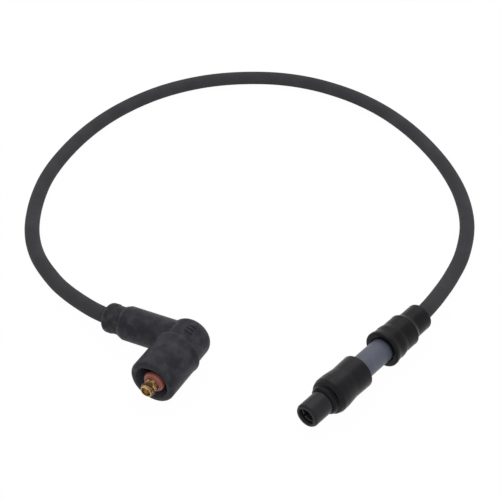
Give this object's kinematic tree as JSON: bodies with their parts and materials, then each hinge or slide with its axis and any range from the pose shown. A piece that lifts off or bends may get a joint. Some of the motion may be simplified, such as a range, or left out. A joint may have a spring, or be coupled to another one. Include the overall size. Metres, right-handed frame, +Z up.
{
  "type": "spark plug wire",
  "caption": "High-tension ignition lead with a straight spark plug connector, a right-angle elbow connector with a brass terminal, and a black cable lying in an open loop.",
  "frame": {"origin": "the middle of the floor box of the two connectors, on the surface that the lead lies on", "axes": "+Z up, +Y along the straight connector from its open nose to its cable end, +X from the elbow towards the straight connector"},
  "size_m": [0.229, 0.238, 0.0206],
  "materials": {
    "cable_rubber": "matt dark grey-black cable jacket",
    "elbow_rubber": "soft matt moulded rubber, slightly blue",
    "seal_rubber": "matt black rubber seal",
    "boot_rubber": "black rubber with a soft sheen",
    "nose_plastic": "dark moulded plastic nose with a satin surface",
    "grey_plastic": "blue-grey moulded plastic tube",
    "phenolic": "terracotta red moulded insulator",
    "brass": "turned brass",
    "steel": "plain plated steel",
    "ceramic": "pale ceramic resistor body",
    "conductor": "copper conductor"
  },
  "bodies": {
    "root": {"plug_nose": "nose_plastic", "plug_socket_terminal": "steel", "plug_socket_clip": "steel", "plug_body_tube": "grey_plastic", "plug_resistor": "ceramic", "plug_spring": "steel", "plug_cable_screw": "brass", "plug_sealing_boot": "boot_rubber", "plug_cable_boot": "boot_rubber", "elbow_housing": "elbow_rubber", "elbow_cup": "elbow_rubber", "elbow_cable_seal": "seal_rubber", "elbow_insulator": "phenolic", "elbow_terminal_nut": "brass", "elbow_terminal": "brass", "elbow_spring": "steel", "elbow_contact": "brass", "elbow_resistor": "ceramic", "elbow_cable_screw": "brass", "cable_jacket": "cable_rubber", "cable_core": "conductor"}
  },
  "joints": []
}
